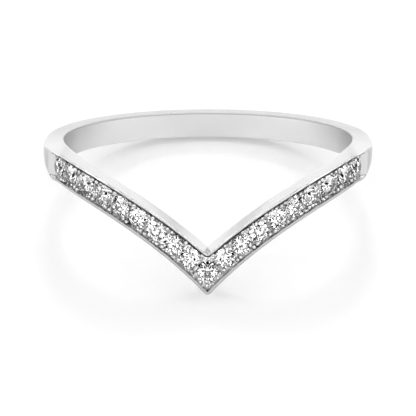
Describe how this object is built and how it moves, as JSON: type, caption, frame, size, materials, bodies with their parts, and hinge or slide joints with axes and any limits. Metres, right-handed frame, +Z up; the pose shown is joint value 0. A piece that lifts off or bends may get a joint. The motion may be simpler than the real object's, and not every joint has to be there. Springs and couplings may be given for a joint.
{
  "type": "chevron ring",
  "caption": "Finger ring whose plain polished silver band dips to a V at the front, with a row of small clear round stones set in a channel along the V.",
  "frame": {"origin": "on the floor, under the middle of the ring's box", "axes": "+Z up; the V points to -Y, and the ring is symmetric left and right of X = 0"},
  "size_m": [0.0186, 0.0208, 0.0056],
  "materials": {
    "metal": "polished silver",
    "stones": "clear cut stone"
  },
  "bodies": {
    "root": {"band": "metal", "stone_point": "stones", "stone_left_1": "stones", "stone_left_2": "stones", "stone_left_3": "stones", "stone_left_4": "stones", "stone_left_5": "stones", "stone_left_6": "stones", "stone_left_7": "stones", "stone_left_8": "stones", "stone_left_9": "stones", "stone_right_1": "stones", "stone_right_2": "stones", "stone_right_3": "stones", "stone_right_4": "stones", "stone_right_5": "stones", "stone_right_6": "stones", "stone_right_7": "stones", "stone_right_8": "stones", "stone_right_9": "stones"}
  },
  "joints": []
}
